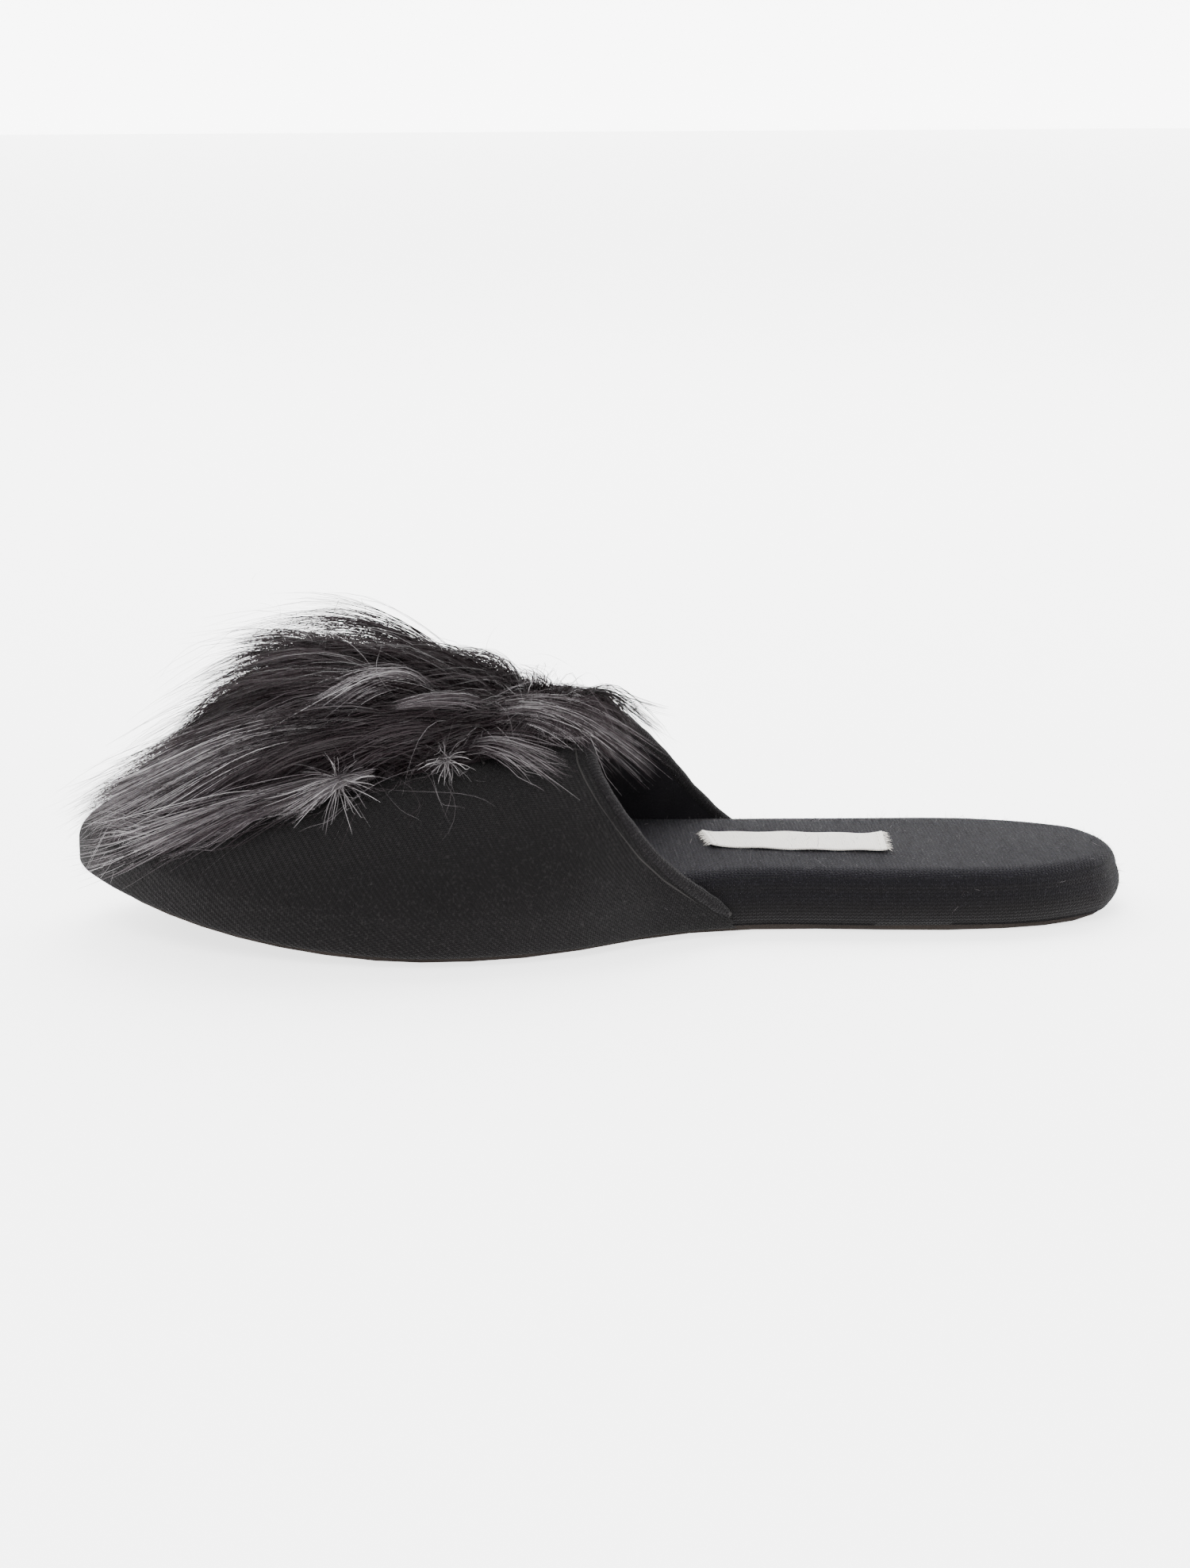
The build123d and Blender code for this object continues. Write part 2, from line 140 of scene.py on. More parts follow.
def vamp_point(inset, y, around):
    """The vamp's surface at y; around goes from 0 at the outer foot over the crest to 1 at the inner."""
    middle, half, foot, widest, crest = vamp_section(inset, y)
    angle = np.clip((around - SIDE_SHARE) / (1 - 2 * SIDE_SHARE), 0, 1) * pi
    across, up = np.cos(angle), np.sin(angle)
    reach = np.sign(across) * np.abs(across) ** (2 / ARCH_WIDTH_POWER)
    x = middle + half * reach - CREST_SHIFT * up * np.minimum(1, half / CREST_NARROW)
    z = widest + (crest - widest) * up ** (2 / ARCH_HEIGHT_POWER)
    low = np.minimum(around, 1 - around) / SIDE_SHARE
    tuck = FOOT_TUCK * (1 - np.sqrt(1 - (1 - np.clip(low, 0, 1)) ** 2))
    x = np.where(low < 1, x - np.sign(0.5 - around) * np.minimum(tuck, FOOT_TUCK_SHARE * half), x)
    z = np.where(low < 1, foot + (widest - foot) * low, z)
    return x, z


def vamp_top(x, y, lift=0.0):
    """Height of the vamp's top over the points (x, y), or of a shell that far outside it."""
    middle, half, foot, widest, crest = vamp_section(-lift, y)
    reach = np.clip(np.abs(x - middle + CREST_SHIFT * np.minimum(1, half / CREST_NARROW)) / half, 0, 1)
    return widest + (crest - widest) * (1 - reach**ARCH_WIDTH_POWER) ** (1 / ARCH_HEIGHT_POWER)


def topline_y(x, z):
    """The y of the topline's cut at each (x, z)."""
    return np.interp(z, TOPLINE_Z, TOPLINE_Y) - TOPLINE_SKEW * x


def topline_end(inset, around):
    """The y at which the vamp's surface ends, for each place around it."""
    y = np.full_like(around, TOPLINE_FIRST_Y)
    for _ in range(TOPLINE_ROUNDS):
        x, z = vamp_point(inset, y, around)
        y = 0.5 * y + 0.5 * topline_y(x, z)
    return y


# ---------------------------------------------------------------- meshes

RIPPLE_WAVES = 9
TUBE_AROUND = 14
THREAD_AROUND = 8


def make_object(name, points, faces, material, smooth=True):
    """A mesh object from points in millimetres."""
    mesh = bpy.data.meshes.new(name)
    mesh.from_pydata((np.asarray(points) * MM).tolist(), [], [tuple(face) for face in faces])
    mesh.polygons.foreach_set("use_smooth", [smooth] * len(mesh.polygons))
    mesh.materials.append(material)
    mesh.update()
    obj = bpy.data.objects.new(name, mesh)
    bpy.context.scene.collection.objects.link(obj)
    return obj


def grid_faces(rows, columns, closed=False):
    """Quads of a grid of points, row after row."""
    wide = columns if closed else columns - 1
    row, column = np.meshgrid(np.arange(rows - 1), np.arange(wide), indexing="ij")
    here = row * columns + column
    beside = row * columns + (column + 1) % columns
    return np.stack([here, beside, beside + columns, here + columns], -1).reshape(-1, 4)


def set_uv(obj, name, uv):
    """Gives the mesh a UV map from one (u, v) per point."""
    layer = obj.data.uv_layers.new(name=name)
    loops = np.empty(len(obj.data.loops), dtype=np.int32)
    obj.data.loops.foreach_get("vertex_index", loops)
    layer.data.foreach_set("uv", np.asarray(uv, dtype=np.float32)[loops].ravel())


def ripple(points, size, height, seed):
    """Smooth pseudo-random offsets for points, from a few crossing waves."""
    waves = np.random.default_rng(seed).normal(size=(RIPPLE_WAVES, 3)) / size
    phases = np.random.default_rng(seed + 1).uniform(0, 2 * pi, RIPPLE_WAVES)
    return height * np.sin(points @ waves.T + phases).sum(1) / np.sqrt(RIPPLE_WAVES)


def tube(name, path, radii, material, around=TUBE_AROUND):
    """A round tube along a path, with a radius at each of its points and closed ends."""
    path = np.asarray(path, dtype=float)
    along = np.gradient(path, axis=0)
    along /= np.linalg.norm(along, axis=1, keepdims=True)
    side = np.cross(along, (0.0, 0.0, 1.0)) + 1e-6
    side /= np.linalg.norm(side, axis=1, keepdims=True)
    over = np.cross(side, along)
    angle = np.arange(around) * 2 * pi / around
    ring = np.cos(angle)[:, None] * side[:, None, :] + np.sin(angle)[:, None] * over[:, None, :]
    points = (path[:, None, :] + np.asarray(radii)[:, None, None] * ring).reshape(-1, 3)
    faces = [tuple(face) for face in grid_faces(len(path), around, closed=True)]
    faces += [tuple(range(around))[::-1], tuple(range(len(points) - around, len(points)))]
    return make_object(name, points, faces, material)


def finish_piece(obj, nodes=()):
    """Puts a piece on the slipper's body and hides the CAD nodes it stands for."""
    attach(obj, "root")
    if nodes:
        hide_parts(*nodes)
    return obj


# ---------------------------------------------------------------- materials


class Shader:
    """A small helper to build a node material."""

    def __init__(self, name):
        self.material = bpy.data.materials.new(name)
        self.material.use_nodes = True
        self.tree = self.material.node_tree
        self.surface = self.tree.nodes["Principled BSDF"]

    def node(self, kind, inputs=None, **settings):
        made = self.tree.nodes.new(kind)
        for key, value in settings.items():
            setattr(made, key, value)
        for key, value in (inputs or {}).items():
            self.feed(made.inputs[key], value)
        return made

    def feed(self, socket, value):
        if isinstance(value, bpy.types.NodeSocket):
            self.tree.links.new(value, socket)
        else:
            socket.default_value = value

    def math(self, operation, *values):
        made = self.node("ShaderNodeMath", operation=operation)
        for socket, value in zip(made.inputs, values):
            self.feed(socket, value)
        return made.outputs[0]

    def mix(self, factor, first, second):
        made = self.node("ShaderNodeMix", data_type="RGBA")
        for socket, value in zip((made.inputs[0], made.inputs[6], made.inputs[7]), (factor, first, second)):
            self.feed(socket, value)
        return made.outputs[2]

    def noise(self, vector, scale, detail=3.0, roughness=0.55):
        inputs = {"Vector": vector, "Scale": scale, "Detail": detail, "Roughness": roughness}
        return self.node("ShaderNodeTexNoise", inputs).outputs["Fac"]

    def bump(self, height, distance, strength=1.0):
        inputs = {"Height": height, "Distance": distance, "Strength": strength}
        return self.node("ShaderNodeBump", inputs).outputs["Normal"]

    def place(self):
        return self.node("ShaderNodeTexCoord").outputs["Object"]

    def finish(self, colour, roughness, sheen=0.0, normal=None, specular=0.3):
        self.feed(self.surface.inputs["Base Color"], colour)
        self.surface.inputs["Roughness"].default_value = roughness
        self.surface.inputs["Sheen Weight"].default_value = sheen
        self.surface.inputs["Sheen Roughness"].default_value = 0.4
        self.surface.inputs["Specular IOR Level"].default_value = specular
        if normal is not None:
            self.feed(self.surface.inputs["Normal"], normal)
        return self.material


def knit_height(shader, across, along, wale, course, slant):
    """Height of knitted stitches: slanting legs in columns (wales) and rows (courses), both in metres."""
    column = shader.math("DIVIDE", across, wale)
    leg = shader.math("ABSOLUTE", shader.math("SUBTRACT", shader.math("FRACT", column), 0.5))
    row = shader.math("ADD", shader.math("DIVIDE", along, course), shader.math("MULTIPLY", leg, slant))
    bead = shader.math("SINE", shader.math("MULTIPLY", row, 2 * pi))
    groove = shader.math("SINE", shader.math("MULTIPLY", shader.math("MULTIPLY", leg, 2.0), pi))
    return shader.math("ADD", shader.math("MULTIPLY", bead, 0.5), shader.math("MULTIPLY", groove, 0.7))


def knit_material(name, dark, light, fleck, wale, course, slant, depth, sheen, turn=0.0, wall=None):
    """A knitted cloth, its rows on a UV map in metres, turned by an angle, with painted shade in the grooves
    of its stitches; wall is a painted-light tint for its upright parts, set apart from the top.
    """
    shader = Shader(name)
    uv = shader.node("ShaderNodeUVMap", uv_map="Cloth").outputs["UV"]
    turned = shader.node("ShaderNodeVectorRotate", {"Vector": uv, "Angle": turn}, rotation_type="Z_AXIS")
    split = shader.node("ShaderNodeSeparateXYZ", {"Vector": turned.outputs[0]})
    place = shader.place()
    waver = shader.math("MULTIPLY", shader.noise(place, 90.0), 0.0009)
    across = shader.math("ADD", split.outputs["X"], waver)
    height = knit_height(shader, across, split.outputs["Y"], wale, course, slant)
    fibre = shader.noise(place, 3800.0, 4.0, 0.7)
    height = shader.math("ADD", height, shader.math("MULTIPLY", fibre, 0.9))
    melange = shader.math("GREATER_THAN", shader.noise(place, 1500.0, 2.0, 0.6), 0.6)
    ground = shader.mix(shader.noise(place, 60.0), dark, light)
    # Painted shade and highlight: the stitches are coloured darker in their grooves and lighter on their
    # tops, following the bump height.
    lit = shader.math("MULTIPLY", shader.math("ADD", height, 0.4), 0.35)
    colour = shader.mix(shader.math("MINIMUM", shader.math("MAXIMUM", lit, 0.0), 1.0), dark, ground)
    colour = shader.mix(shader.math("MULTIPLY", melange, 0.35), colour, fleck)
    # Painted light: faces are tinted towards the wall colour the more upright they are, so the side differs
    # from the top as the light falling on them would make it.
    if wall:
        normal = shader.node("ShaderNodeNewGeometry").outputs["Normal"]
        upward = shader.node("ShaderNodeSeparateXYZ", {"Vector": normal}).outputs["Z"]
        upright = shader.math("SUBTRACT", 1.0, shader.math("MAXIMUM", upward, 0.0))
        colour = shader.mix(shader.math("MULTIPLY", upright, 0.75), colour, wall)
    return shader.finish(colour, 0.92, sheen, shader.bump(height, depth, 0.8), specular=0.06)


def plain_cloth(name, dark, light, grain, depth):
    """A felted or foamed material with a fine random grain."""
    shader = Shader(name)
    place = shader.place()
    fine = shader.noise(place, grain, 5.0, 0.65)
    colour = shader.mix(shader.noise(place, grain / 20), dark, light)
    return shader.finish(colour, 0.95, 0.02, shader.bump(fine, depth), specular=0.08)


# Distances between the label's threads, in metres.
LABEL_WARP, LABEL_WEFT = 0.00042, 0.00055


def label_material():
    """A cream satin-woven tape: fine ribs along the label, with painted shade darkening it between the
    threads.
    """
    shader = Shader("label_weave")
    uv = shader.node("ShaderNodeUVMap", uv_map="Cloth").outputs["UV"]
    split = shader.node("ShaderNodeSeparateXYZ", {"Vector": uv})
    warp = shader.math("SINE", shader.math("MULTIPLY", split.outputs["X"], 2 * pi / LABEL_WARP))
    weft = shader.math("SINE", shader.math("MULTIPLY", split.outputs["Y"], 2 * pi / LABEL_WEFT))
    height = shader.math("ADD", warp, shader.math("MULTIPLY", weft, 0.6))
    soil = shader.noise(shader.place(), 220.0)
    colour = shader.mix(soil, (0.80, 0.765, 0.71, 1), (0.90, 0.88, 0.84, 1))
    # Painted shade between the threads, following the weave's height.
    shade = shader.math("MULTIPLY", shader.math("ADD", height, 1.6), 0.3)
    colour = shader.mix(shader.math("MINIMUM", shade, 1.0), (0.72, 0.68, 0.62, 1), colour)
    return shader.finish(colour, 0.62, 0.2, shader.bump(height, 0.00012), specular=0.35)


def hair_material():
    """Hair: the tint class runs along u of its UV map and root to tip along v."""
    shader = Shader("fur_hair")
    uv = shader.node("ShaderNodeUVMap", uv_map="OFBake").outputs["UV"]
    split = shader.node("ShaderNodeSeparateXYZ", {"Vector": uv})
    root = shader.node("ShaderNodeValToRGB", {"Fac": split.outputs["X"]})
    tip = shader.node("ShaderNodeValToRGB", {"Fac": split.outputs["X"]})
    stops = (0.0, 0.3, 0.6, 0.8, 1.0)
    roots = (
        (0.0035, 0.0025, 0.0026), (0.0055, 0.0038, 0.0040), (0.0105, 0.0072, 0.0080),
        (0.045, 0.040, 0.042), (0.16, 0.15, 0.152),
    )
    tips = (
        (0.0065, 0.0042, 0.0048), (0.0125, 0.0080, 0.0092), (0.029, 0.020, 0.0235),
        (0.15, 0.138, 0.144), (0.46, 0.44, 0.445),
    )
    for ramp, colours in ((root.color_ramp, roots), (tip.color_ramp, tips)):
        while len(ramp.elements) < len(stops):
            ramp.elements.new(0.5)
        for element, stop, colour in zip(ramp.elements, stops, colours):
            element.position = stop
            element.color = (*colour, 1)
    colour = shader.mix(split.outputs["Y"], root.outputs["Color"], tip.outputs["Color"])
    shader.surface.inputs["Anisotropic"].default_value = 0.6
    return shader.finish(colour, 0.45, 0.0, specular=0.2)


VAMP_KNIT = knit_material(
    "vamp_knit_cloth", (0.0045, 0.0042, 0.0044, 1), (0.0105, 0.0095, 0.0096, 1), (0.024, 0.022, 0.0225, 1),
    wale=0.0008, course=0.0010, slant=0.9, depth=0.00032, sheen=0.04, turn=radians(38),
)
# The footbed's wall tint is painted light: its side is coloured apart from its bluish top by which way it
# faces.
FOOTBED_KNIT = knit_material(
    "footbed_cloth", (0.005, 0.0047, 0.0066, 1), (0.0085, 0.0080, 0.0118, 1), (0.025, 0.0236, 0.032, 1),
    wale=0.0010, course=0.0009, slant=0.8, depth=0.0004, sheen=0.03, wall=(0.0082, 0.0074, 0.0071, 1),
)
LINING = plain_cloth("lining_jersey", (0.004, 0.0037, 0.0043, 1), (0.0085, 0.0078, 0.0092, 1), 2600, 0.0002)
BINDING = knit_material(
    "binding_knit", (0.007, 0.0064, 0.007, 1), (0.016, 0.0147, 0.0153, 1), (0.028, 0.026, 0.0265, 1),
    wale=0.0009, course=0.0009, slant=0.7, depth=0.0003, sheen=0.04,
)
PIPING = plain_cloth("piping_thread", (0.012, 0.0112, 0.0112, 1), (0.034, 0.032, 0.031, 1), 2200, 0.0002)
LABEL = label_material()
HAIR = hair_material()
NODE_LOOKS = {
    "suede": plain_cloth("outsole_suede", (0.018, 0.015, 0.014, 1), (0.034, 0.028, 0.025, 1), 1800, 0.0003),
    "felt": plain_cloth("felt", (0.008, 0.0075, 0.0075, 1), (0.016, 0.015, 0.015, 1), 1500, 0.0003),
    "board": plain_cloth("fibreboard", (0.28, 0.21, 0.14, 1), (0.42, 0.33, 0.24, 1), 900, 0.0002),
    "foam": plain_cloth("soft_foam", (0.62, 0.60, 0.55, 1), (0.76, 0.74, 0.70, 1), 1300, 0.0003),
    "footbed_knit": FOOTBED_KNIT,
    "vamp_knit": VAMP_KNIT,
    "lining": LINING,
    "binding": BINDING,
    "cord": PIPING,
    "fur_base": plain_cloth("fur_ground", (0.008, 0.006, 0.007, 1), (0.016, 0.012, 0.013, 1), 2400, 0.0004),
    "fur": HAIR,
    "thread": plain_cloth("black_thread", (0.010, 0.009, 0.009, 1), (0.022, 0.02, 0.02, 1), 3000, 0.0001),
    "label": LABEL,
    "label_thread": plain_cloth("cream_thread", (0.66, 0.62, 0.56, 1), (0.8, 0.77, 0.72, 1), 3000, 0.0001),
}
LABEL_THREAD = NODE_LOOKS["label_thread"]


def dress_nodes():
    """Gives every carried-over CAD node the material of its slot."""
    for part in frame["record"]["subparts"]:
        mesh = frame["nodes"][part["node"]].data
        mesh.materials.clear()
        mesh.materials.append(NODE_LOOKS[part["material_slot"]])


# ---------------------------------------------------------------- the footbed

# The middle line stops short of the tips, the top's pillow, and the side wall's swell and rows.
SPINE_END = 104
PILLOW_RISE, PILLOW_RUN = 0.55, 9
SIDE_SWELL, SIDE_PULL_IN = 1.0, 1.3
SIDE_ROWS, UNDER_SHARES = 9, (0.10, 0.045)
RIM_TOP_SHARE = 0.0004
ROWS_ON_SIDE_UV = 6
DISTANCE_BATCH = 60


def edge_distance(points):
    """Distance of each (x, y) from the footbed's outline."""
    nearest = np.full(len(points), 1e9)
    for start in range(0, len(RIM), DISTANCE_BATCH):
        part = RIM[None, start : start + DISTANCE_BATCH, :]
        gap = np.linalg.norm(points[:, None, :] - part, axis=2)
        nearest = np.minimum(nearest, gap.min(1))
    return nearest


def pad_top(x, y):
    """Height of the footbed's padded top."""
    distance = edge_distance(np.stack([x, y], 1))
    high = tread(y) + PAD_HIGH - quarter_round(y - RIM[:, 1].min(), TOE_THINNING_RUN, TOE_THINNING)
    pillow = PILLOW_RISE * (1 - np.exp(-distance / PILLOW_RUN))
    return high - quarter_round(distance, PAD_ROUND, PAD_ROUND) + pillow


def spine_of(points):
    """The middle line that the rings of the footbed close on."""
    y = np.clip(points[:, 1], -SPINE_END, SPINE_END)
    inner, outer = sides(0, y)
    return np.stack([(inner + outer) / 2, y], 1)


def build_footbed():
    """The padded footbed's knitted cover: side wall, rounded edge and a slightly pillowed top."""
    side_heights = np.linspace(0, 1, SIDE_ROWS)
    ring_shares = np.concatenate([np.linspace(0, 0.22, 16) ** 1.35, np.linspace(0.16, 1, 26)])
    ring_shares = np.unique(np.round(ring_shares, 5))
    spine = spine_of(RIM)
    rows = []
    for share in UNDER_SHARES:
        flat = RIM + (spine - RIM) * share
        rows.append(np.column_stack([flat, tread(flat[:, 1]) + PAD_LOW - PAD_SAG]))
    top_edge = pad_top(*(RIM + (spine - RIM) * RIM_TOP_SHARE).T)
    low_edge = tread(RIM[:, 1]) + PAD_LOW - PAD_SAG
    for height in side_heights[:-1]:
        swell = SIDE_SWELL * sin(pi * height) - SIDE_PULL_IN * (1 - height) ** 4
        flat = RIM + RIM_OUT * swell
        rows.append(np.column_stack([flat, low_edge + (top_edge - low_edge) * height]))
    for share in ring_shares:
        flat = RIM + (spine - RIM) * share
        rows.append(np.column_stack([flat, pad_top(flat[:, 0], flat[:, 1])]))
    points = np.vstack(rows)
    points[:, 2] += ripple(points, size=16.0, height=0.13, seed=3)
    columns = len(RIM)
    faces = grid_faces(len(rows), columns, closed=True)[:, ::-1]
    obj = make_object("footbed_cloth", points, faces, FOOTBED_KNIT)
    grid = points.reshape(len(rows), columns, 3)
    arc = np.concatenate([[0], np.cumsum(np.linalg.norm(np.diff(RIM, axis=0), axis=1))])
    is_side = np.arange(len(rows)) < len(UNDER_SHARES) + SIDE_ROWS + ROWS_ON_SIDE_UV
    uv = np.where(
        is_side[:, None, None],
        np.stack([np.broadcast_to(arc, grid.shape[:2]), grid[..., 2]], -1),
        grid[..., :2],
    )
    set_uv(obj, "Cloth", uv.reshape(-1, 2) * MM)
    return finish_piece(obj, ["footbed_cover"])


# ---------------------------------------------------------------- the vamp

AROUND = np.linspace(0, 1, 181)
LENGTHWISE = 150
TIP_GAP = 0.02
LINING_INSET = 2.6


def vamp_grid(inset):
    """The vamp's surface from the toe's tip to the topline, as rows of points around it."""
    tip = tip_of(WALL - inset) + TIP_GAP
    end = topline_end(inset, AROUND)
    share = np.linspace(0, 1, LENGTHWISE)
    share = 1 - np.cos(share * pi / 2) * (1 - 0.35 * share * (1 - share))
    rows = []
    for part in share:
        y = tip + (end - tip) * part
        x, z = vamp_point(inset, y, AROUND)
        rows.append(np.column_stack([x, y, z]))
    return np.array(rows)


def build_vamp():
    """The knitted outside of the vamp, with soft unevenness."""
    grid = vamp_grid(0.0)
    points = grid.reshape(-1, 3)
    soft = ripple(points, size=14.0, height=0.28, seed=7)
    points = points + np.array([0.25, 0.0, 1.0]) * soft[:, None]
    obj = make_object("vamp_cloth", points, grid_faces(LENGTHWISE, len(AROUND)), VAMP_KNIT)
    girth = np.cumsum(np.linalg.norm(np.diff(grid, axis=1, prepend=grid[:, :1]), axis=2), axis=1)
    girth -= girth[:, len(AROUND) // 2][:, None]
    length = np.cumsum(np.linalg.norm(np.diff(grid, axis=0, prepend=grid[:1]), axis=2), axis=0)
    set_uv(obj, "Cloth", np.stack([girth, length], -1).reshape(-1, 2) * MM)
    return finish_piece(obj, ["vamp_knit"]), grid


def build_lining():
    """The jersey inside the vamp."""
    grid = vamp_grid(LINING_INSET)
    faces = grid_faces(LENGTHWISE, len(AROUND))[:, ::-1]
    obj = make_object("lining_cloth", grid.reshape(-1, 3), faces, LINING)
    finish_piece(obj, ["vamp_lining"])
    return grid


# The roll's radius, place on the wall's edge and girth, and the shares of the topline it leaves bare.
ROLL_RADIUS, ROLL_GIRTH = 1.75, 0.011
ROLL_PLACE = np.array([0, 0.35, 0.25])
ROLL_OUTSIDE_SHARE = 0.55
ROLL_BARE_END = 0.035
ROLL_END_SHARE, ROLL_TAPER = 0.45, 14
ROLL_LUMP, ROLL_LUMP_TURN = 0.06, 0.9
SEAM_SETBACK, SEAM_BARE_END = 2.2, 0.06
SEAM_RADIUS, SEAM_LIFT, SEAM_SINK = 0.24, 0.05, 1.5


def build_topline(outside, inside):
    """The rolled binding along the topline and a stitched line in front of it."""
    rim = outside[-1] * ROLL_OUTSIDE_SHARE + inside[-1] * (1 - ROLL_OUTSIDE_SHARE)
    keep = (AROUND > ROLL_BARE_END) & (AROUND < 1 - ROLL_BARE_END)
    path = rim[keep] + ROLL_PLACE
    ends = np.minimum(np.linspace(0, 1, len(path)), np.linspace(1, 0, len(path)))
    lumps = ROLL_LUMP * np.sin(np.arange(len(path)) * ROLL_LUMP_TURN)
    radii = ROLL_RADIUS * np.clip(ROLL_END_SHARE + ends * ROLL_TAPER, 0, 1) + lumps
    bead = tube("topline_roll", path, radii, BINDING)
    around = np.tile(np.arange(TUBE_AROUND) / TUBE_AROUND * ROLL_GIRTH, len(path))
    arc = np.cumsum(np.linalg.norm(np.diff(path, axis=0, prepend=path[:1]), axis=1)) * MM
    set_uv(bead, "Cloth", np.stack([around, np.repeat(arc, TUBE_AROUND)], 1))
    finish_piece(bead, ["topline_binding"])
    forward = outside[-2][keep] - outside[-1][keep]
    forward /= np.linalg.norm(forward, axis=1, keepdims=True)
    front = outside[-1][keep] + forward * SEAM_SETBACK
    normal = outside[-1][keep] - inside[-1][keep]
    normal /= np.linalg.norm(normal, axis=1, keepdims=True)
    fade = np.clip((ends - SEAM_BARE_END) / SEAM_BARE_END, 0.02, 1)
    seam_path = front + normal * (SEAM_LIFT - SEAM_SINK * (fade < 0.1))[:, None]
    seam = tube("topline_seam", seam_path, SEAM_RADIUS * fade, PIPING, around=THREAD_AROUND)
    finish_piece(seam)


# ---------------------------------------------------------------- the label

LABEL_CORNERS = np.array([(5.0, 71.2), (-12.0, 72.2), (-17.0, 26.5), (-2.0, 27.7)])
LABEL_ACROSS, LABEL_ALONG = 25, 61
LABEL_UV_SIZE = (0.0155, 0.0445)
LABEL_THICKNESS = 0.00035
FRAY_THREADS, FRAY_WIDTH = 150, 0.16
STITCH_ROWS, STITCHES, STITCH_LIFT = (0.035, 0.965), 5, 0.22


def label_point(u, v):
    """A place on the label, u across its width and v along its length, as (x, y, z)."""
    near, far, far_toe, near_toe = LABEL_CORNERS
    wave = 0.35 * np.sin(v * 9.0) * (2 * u - 1)
    flat = (1 - v)[:, None] * (near * (1 - u)[:, None] + far * u[:, None])
    flat = flat + v[:, None] * (near_toe * (1 - u)[:, None] + far_toe * u[:, None])
    flat[:, 0] += wave
    lift = 0.42 + 0.22 * np.sin(v * 11 + u * 2) ** 2 + 0.5 * (np.abs(2 * v - 1) ** 12)
    return np.column_stack([flat, pad_top(flat[:, 0], flat[:, 1]) + lift])


def ribbons(name, paths, widths, tints, facing, material):
    """Many flat hairs or threads as one mesh. paths is (count, points, 3); facing gives their flat side."""
    count, steps, _ = paths.shape
    along = np.gradient(paths, axis=1)
    side = np.cross(along, facing[:, None, :])
    side /= np.linalg.norm(side, axis=2, keepdims=True) + 1e-9
    taper = np.sqrt(np.clip(1 - np.linspace(0, 1, steps) ** 2.2, 0.02, 1))
    half = widths[:, None, None] * taper[None, :, None] / 2
    points = np.stack([paths - side * half, paths + side * half], 2).reshape(-1, 3)
    first = (np.arange(count)[:, None] * steps + np.arange(steps - 1)[None, :]).ravel() * 2
    faces = np.stack([first, first + 1, first + 3, first + 2], 1)
    mesh = bpy.data.meshes.new(name)
    mesh.vertices.add(len(points))
    mesh.vertices.foreach_set("co", (points * MM).astype(np.float32).ravel())
    mesh.loops.add(faces.size)
    mesh.loops.foreach_set("vertex_index", faces.ravel().astype(np.int32))
    mesh.polygons.add(len(faces))
    mesh.polygons.foreach_set("loop_start", (np.arange(len(faces)) * 4).astype(np.int32))
    mesh.polygons.foreach_set("use_smooth", np.ones(len(faces), dtype=bool))
    mesh.materials.append(material)
    mesh.update(calc_edges=True)
    obj = bpy.data.objects.new(name, mesh)
    bpy.context.scene.collection.objects.link(obj)
    v = np.tile(np.repeat(np.linspace(0, 1, steps), 2), count)
    set_uv(obj, "OFBake", np.stack([np.repeat(tints, steps * 2), v], 1))
    return obj


def build_label():
    """The woven label, with its fray and its stitches."""
    u, v = np.meshgrid(np.linspace(0, 1, LABEL_ACROSS), np.linspace(0, 1, LABEL_ALONG))
    cloth = label_point(u.ravel(), v.ravel())
    obj = make_object("label_cloth", cloth, grid_faces(LABEL_ALONG, LABEL_ACROSS), LABEL)
    set_uv(obj, "Cloth", np.column_stack([u.ravel(), v.ravel()]) * LABEL_UV_SIZE)
    thick = obj.modifiers.new("thickness", "SOLIDIFY")
    thick.thickness = LABEL_THICKNESS
    thick.offset = 0
    finish_piece(obj, ["woven_label"])
    build_fray()
    build_stitches()


def build_fray():
    """The loose threads at the label's two cut ends."""
    count = FRAY_THREADS
    place = RANDOM.uniform(0.01, 0.99, count)
    end = RANDOM.integers(0, 2, count).astype(float)
    start = label_point(place, end)
    outwards = np.where(end[:, None] == 0, (0.05, 1.0, 0.0), (-0.05, -1.0, 0.0))
    drift = RANDOM.normal(0, 0.45, (count, 3)) * (1, 0.3, 0.35)
    reach = RANDOM.uniform(0.5, 1.9, count)
    share = np.linspace(0, 1, 5)
    paths = start[:, None, :] + share[None, :, None] * reach[:, None, None] * (outwards + drift)[:, None, :]
    paths[..., 2] -= (share**2)[None, :] * 0.3
    facing = np.tile((0, 0, 1.0), (count, 1))
    fray = ribbons("label_fray", paths, np.full(count, FRAY_WIDTH), np.ones(count), facing, LABEL_THREAD)
    finish_piece(fray)


def build_stitches():
    """The two rows of stitches that hold the label."""
    for row, v_row in enumerate(STITCH_ROWS):
        for k in range(STITCHES):
            u_span = np.array([k + 0.25, k + 0.5, k + 0.75]) / STITCHES
            path = label_point(u_span, np.full(3, v_row)) + np.array([0, 0, STITCH_LIFT])
            stitch = tube(f"label_stitch_{row}_{k}", path, (0.12, 0.2, 0.12), LABEL_THREAD, THREAD_AROUND)
            finish_piece(stitch, ["label_stitches"] if row == k == 0 else ())


# ---------------------------------------------------------------- the fur

